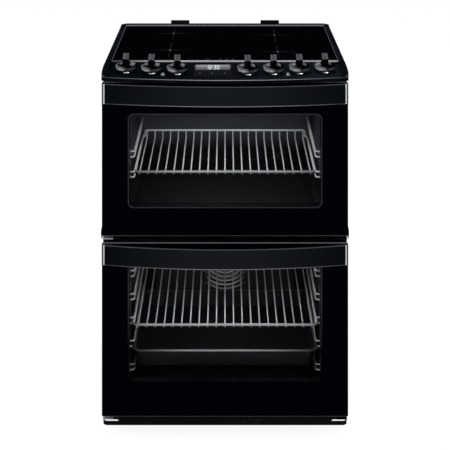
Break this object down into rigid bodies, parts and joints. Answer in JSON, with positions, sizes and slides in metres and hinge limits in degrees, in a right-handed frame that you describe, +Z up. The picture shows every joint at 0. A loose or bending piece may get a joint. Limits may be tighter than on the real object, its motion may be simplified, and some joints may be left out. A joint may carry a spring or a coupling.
{
  "type": "range cooker",
  "caption": "Freestanding range cooker with a glass induction hob, a bowed control panel with turning knobs and two ovens behind drop-down glass doors.",
  "frame": {"origin": "on the floor under the middle of the cooker's outline", "axes": "+Z up, +X to the right as seen by someone facing the cooker, +Y to the back"},
  "size_m": [0.5994, 0.5999, 0.9281],
  "materials": {
    "panel_black": "satin black enamel",
    "galvanised": "galvanised sheet",
    "plinth_black": "matt black",
    "trim_black": "matt black",
    "frame_dark": "semi-gloss dark enamel",
    "hob_glass": "polished black glass ceramic",
    "fascia": "glossy black",
    "display_window": "tinted glossy window",
    "button": "black",
    "circuit": "circuit board and housing",
    "switch": "black moulding",
    "knob": "brushed grey metal",
    "collar": "polished",
    "lamp": "smoked lens",
    "enamel": "vitreous enamel",
    "seal": "matt",
    "wire": "bright wire",
    "tray": "dark enamel",
    "element": "oxidised steel tube",
    "motor": "cast",
    "fan": "pressed sheet",
    "lamp_glass": "clear",
    "wool": "mineral wool",
    "hinge": "zinc plated",
    "door_glass": "dark tinted",
    "clear_glass": "clear heat-reflecting",
    "coil": "lacquered wire",
    "handle": "satin dark band",
    "foot": "black moulding on a steel spindle"
  },
  "bodies": {
    "cooker": {"side_panel_left": "panel_black", "side_panel_right": "panel_black", "back_panel": "galvanised", "base_pan": "galvanised", "plinth": "plinth_black", "top_rail": "panel_black", "mid_rail": "trim_black", "rear_standoffs": "trim_black", "terminal_box": "trim_black", "hob_frame": "frame_dark", "hob_glass": "hob_glass", "hob_base": "galvanised", "induction_coils": "coil", "power_unit": "galvanised", "control_panel": "fascia", "display_window": "display_window", "clock_module": "circuit", "rotary_switches": "switch", "knob_collars": "collar", "pilot_lamps": "lamp", "upper_oven": "enamel", "door_seals": "seal", "upper_side_racks": "wire", "grill_element": "element", "lower_oven": "enamel", "lower_side_racks": "wire", "fan_cover": "enamel", "ring_element": "element", "fan_motor": "motor", "oven_lamps": "lamp_glass", "insulation": "wool", "hinge_brackets": "hinge"},
    "upper_door": {"upper_door_frame": "frame_dark", "upper_outer_glass": "door_glass", "upper_inner_glass": "clear_glass", "upper_handle": "handle", "upper_hinge_leaves": "hinge"},
    "lower_door": {"lower_door_frame": "frame_dark", "lower_outer_glass": "door_glass", "lower_inner_glass": "clear_glass", "lower_handle": "handle", "lower_hinge_leaves": "hinge"},
    "foot_1": {"levelling_foot_1": "foot"},
    "foot_2": {"levelling_foot_2": "foot"},
    "foot_3": {"levelling_foot_3": "foot"},
    "foot_4": {"levelling_foot_4": "foot"},
    "button_1": {"display_button_1": "button"},
    "button_2": {"display_button_2": "button"},
    "button_3": {"display_button_3": "button"},
    "knob_1": {"knob_1": "knob"},
    "knob_2": {"knob_2": "knob"},
    "knob_3": {"knob_3": "knob"},
    "knob_4": {"knob_4": "knob"},
    "knob_5": {"knob_5": "knob"},
    "knob_6": {"knob_6": "knob"},
    "knob_7": {"knob_7": "knob"},
    "upper_shelf": {"upper_shelf": "wire"},
    "lower_shelf": {"lower_shelf": "wire"},
    "baking_tray": {"baking_tray": "tray"},
    "fan_wheel": {"fan_wheel": "fan"}
  },
  "joints": [
    {"name": "upper_door_hinge", "type": "hinge", "parent": "cooker", "child": "upper_door", "pos_m": [0, -0.256, 0.509], "axis": [1, 0, 0], "range_deg": [0, 90]},
    {"name": "lower_door_hinge", "type": "hinge", "parent": "cooker", "child": "lower_door", "pos_m": [0, -0.256, 0.0735], "axis": [1, 0, 0], "range_deg": [0, 90]},
    {"name": "knob_1_turn", "type": "hinge", "parent": "cooker", "child": "knob_1", "pos_m": [-0.242, -0.22488, 0.88581], "axis": [-0.0129, -0.0733, 0.9972], "range_deg": [-270, 0]},
    {"name": "knob_2_turn", "type": "hinge", "parent": "cooker", "child": "knob_2", "pos_m": [-0.179, -0.23448, 0.88581], "axis": [-0.0095, -0.0738, 0.9972], "range_deg": [-270, 0]},
    {"name": "knob_3_turn", "type": "hinge", "parent": "cooker", "child": "knob_3", "pos_m": [-0.116, -0.24118, 0.88581], "axis": [-0.0062, -0.0742, 0.9972], "range_deg": [-270, 0]},
    {"name": "knob_4_turn", "type": "hinge", "parent": "cooker", "child": "knob_4", "pos_m": [0.055, -0.24492, 0.88581], "axis": [0.0029, -0.0744, 0.9972], "range_deg": [-270, 0]},
    {"name": "knob_5_turn", "type": "hinge", "parent": "cooker", "child": "knob_5", "pos_m": [0.118, -0.24101, 0.88581], "axis": [0.0063, -0.0742, 0.9972], "range_deg": [-270, 0]},
    {"name": "knob_6_turn", "type": "hinge", "parent": "cooker", "child": "knob_6", "pos_m": [0.181, -0.23422, 0.88581], "axis": [0.0096, -0.0738, 0.9972], "range_deg": [-270, 0]},
    {"name": "knob_7_turn", "type": "hinge", "parent": "cooker", "child": "knob_7", "pos_m": [0.244, -0.22452, 0.88581], "axis": [0.013, -0.0733, 0.9972], "range_deg": [-270, 0]},
    {"name": "button_1_press", "type": "slide", "parent": "cooker", "child": "button_1", "axis": [0.0033, 0.0743, -0.9972], "range_m": [0, 0.0012], "stiffness_N_per_m": 300},
    {"name": "button_2_press", "type": "slide", "parent": "cooker", "child": "button_2", "axis": [0.0017, 0.0744, -0.9972], "range_m": [0, 0.0012], "stiffness_N_per_m": 300},
    {"name": "button_3_press", "type": "slide", "parent": "cooker", "child": "button_3", "axis": [0.0001, 0.0744, -0.9972], "range_m": [0, 0.0012], "stiffness_N_per_m": 300},
    {"name": "foot_1_level", "type": "slide", "parent": "cooker", "child": "foot_1", "axis": [0, 0, -1], "range_m": [0, 0.025]},
    {"name": "foot_2_level", "type": "slide", "parent": "cooker", "child": "foot_2", "axis": [0, 0, -1], "range_m": [0, 0.025]},
    {"name": "foot_3_level", "type": "slide", "parent": "cooker", "child": "foot_3", "axis": [0, 0, -1], "range_m": [0, 0.025]},
    {"name": "foot_4_level", "type": "slide", "parent": "cooker", "child": "foot_4", "axis": [0, 0, -1], "range_m": [0, 0.025]},
    {"name": "upper_shelf_slide", "type": "slide", "parent": "cooker", "child": "upper_shelf", "axis": [0, -1, 0], "range_m": [0, 0.06]},
    {"name": "lower_shelf_slide", "type": "slide", "parent": "cooker", "child": "lower_shelf", "axis": [0, -1, 0], "range_m": [0, 0.018]},
    {"name": "tray_slide", "type": "slide", "parent": "cooker", "child": "baking_tray", "axis": [0, -1, 0], "range_m": [0, 0.012]},
    {"name": "fan_spin", "type": "hinge", "parent": "cooker", "child": "fan_wheel", "pos_m": [0, 0.182, 0.28], "axis": [0, 1, 0], "continuous": true}
  ]
}
